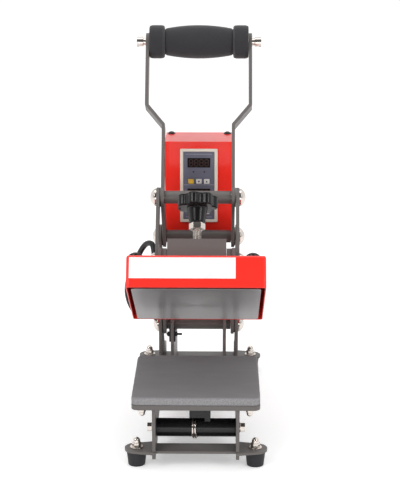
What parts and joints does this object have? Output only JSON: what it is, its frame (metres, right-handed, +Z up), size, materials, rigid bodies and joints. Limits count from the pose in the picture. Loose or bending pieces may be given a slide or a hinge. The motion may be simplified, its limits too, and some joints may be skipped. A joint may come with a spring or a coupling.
{
  "type": "heat press",
  "caption": "Toggle-lever bench heat press with a flat square heater raised at an angle over a foam pad, a grip across two bent arms and a control box behind.",
  "frame": {"origin": "on the bench, below the middle of the machine's box", "axes": "+X to the right as the user faces it, +Y to the back, +Z up"},
  "size_m": [0.1773, 0.368, 0.4864],
  "materials": {
    "frame_steel": "gunmetal powder coat",
    "brace_steel": "gunmetal powder coat",
    "lever_steel": "gunmetal powder coat",
    "bright_steel": "bright nickel",
    "rubber": "matt",
    "black_satin": "satin black",
    "pad_foam": "matt silicone sponge",
    "grip_foam": "matt foam",
    "red_paint": "semi-gloss powder coat",
    "black_plastic": "matt",
    "knob_plastic": "gloss",
    "cream_plastic": "satin",
    "panel_plastic": "satin film",
    "display_plastic": "gloss",
    "yellow_key": "satin",
    "white_key": "satin",
    "rocker_plastic": "gloss",
    "heater_alloy": "brushed",
    "insulation": "glass wool"
  },
  "bodies": {
    "root": {"front_cross_plate": "frame_steel", "rear_cross_plate": "frame_steel", "rubber_feet": "rubber", "foot_bolts": "bright_steel", "foot_nuts": "bright_steel", "side_frame_left": "frame_steel", "side_frame_right": "frame_steel", "inner_brace_left": "brace_steel", "inner_brace_right": "brace_steel", "tie_tube": "black_satin", "tie_bolts": "bright_steel", "split_ring": "bright_steel", "saddle_block": "black_satin", "lower_platen": "frame_steel", "foam_pad": "pad_foam", "platen_studs": "bright_steel", "frame_shafts": "bright_steel", "frame_spacers": "frame_steel", "frame_caps": "bright_steel", "limit_switch": "black_plastic", "control_box": "red_paint", "box_back": "red_paint", "box_screws": "black_satin", "box_grommet": "rubber", "controller_body": "cream_plastic", "controller_panel": "panel_plastic", "display_windows": "display_plastic", "power_inlet": "black_plastic", "heater_cable": "rubber"},
    "handle": {"handle_arm_left": "lever_steel", "handle_arm_right": "lever_steel", "upper_spacer": "lever_steel", "handle_core": "bright_steel", "handle_grip": "grip_foam", "handle_bolts": "bright_steel"},
    "link": {"link_left": "lever_steel", "link_right": "lever_steel", "link_shafts": "bright_steel", "link_caps": "bright_steel"},
    "arm": {"arm_left": "lever_steel", "arm_right": "lever_steel", "arm_bridge": "lever_steel", "pressure_block": "lever_steel"},
    "head": {"heater_cover": "red_paint", "heater_plate": "heater_alloy", "insulation_pad": "insulation", "cover_studs": "black_satin", "cable_gland": "rubber"},
    "knob": {"pressure_stud": "bright_steel", "lock_nut": "bright_steel", "pressure_knob": "knob_plastic"},
    "rocker": {"power_rocker": "rocker_plastic"},
    "set_key": {"set_button": "yellow_key"},
    "down_key": {"down_button": "white_key"},
    "up_key": {"up_button": "white_key"},
    "timer_set_key": {"timer_set_button": "yellow_key"},
    "timer_down_key": {"timer_down_button": "white_key"},
    "timer_up_key": {"timer_up_button": "white_key"}
  },
  "joints": [
    {"name": "handle_pivot", "type": "hinge", "parent": "root", "child": "handle", "pos_m": [0, 0.048, 0.222], "axis": [1, 0, 0], "range_deg": [0, 65.4]},
    {"name": "arm_pivot", "type": "hinge", "parent": "root", "child": "arm", "pos_m": [0, 0.043, 0.107], "axis": [1, 0, 0], "range_deg": [0, 31], "deforming": ["heater_cable"]},
    {"name": "link_pivot", "type": "hinge", "parent": "handle", "child": "link", "pos_m": [0, -0.007, 0.2862], "axis": [1, 0, 0], "range_deg": [-81.2, 0]},
    {"name": "head_slide", "type": "slide", "parent": "arm", "child": "head", "axis": [0, 0.515, 0.8572], "range_m": [-0.004, 0]},
    {"name": "knob_turn", "type": "hinge", "parent": "head", "child": "knob", "pos_m": [0, -0.08305, 0.24865], "axis": [0, 0.515, 0.8572], "range_deg": [-961, 0]},
    {"name": "rocker_tilt", "type": "hinge", "parent": "root", "child": "rocker", "pos_m": [0, 0.13, 0.2745], "axis": [1, 0, 0], "range_deg": [-18, 0]},
    {"name": "set_press", "type": "slide", "parent": "root", "child": "set_key", "axis": [0, 1, 0], "range_m": [0, 0.001], "stiffness_N_per_m": 300},
    {"name": "down_press", "type": "slide", "parent": "root", "child": "down_key", "axis": [0, 1, 0], "range_m": [0, 0.001], "stiffness_N_per_m": 300},
    {"name": "up_press", "type": "slide", "parent": "root", "child": "up_key", "axis": [0, 1, 0], "range_m": [0, 0.001], "stiffness_N_per_m": 300},
    {"name": "timer_set_press", "type": "slide", "parent": "root", "child": "timer_set_key", "axis": [0, 1, 0], "range_m": [0, 0.001], "stiffness_N_per_m": 300},
    {"name": "timer_down_press", "type": "slide", "parent": "root", "child": "timer_down_key", "axis": [0, 1, 0], "range_m": [0, 0.001], "stiffness_N_per_m": 300},
    {"name": "timer_up_press", "type": "slide", "parent": "root", "child": "timer_up_key", "axis": [0, 1, 0], "range_m": [0, 0.001], "stiffness_N_per_m": 300}
  ],
  "couplings": [
    {"joint": "arm_pivot", "follows": "handle_pivot", "ratio": 0.4738},
    {"joint": "link_pivot", "follows": "handle_pivot", "ratio": -1.241},
    {"joint": "knob_turn", "follows": "head_slide", "rad_per_m": 4188.8}
  ]
}
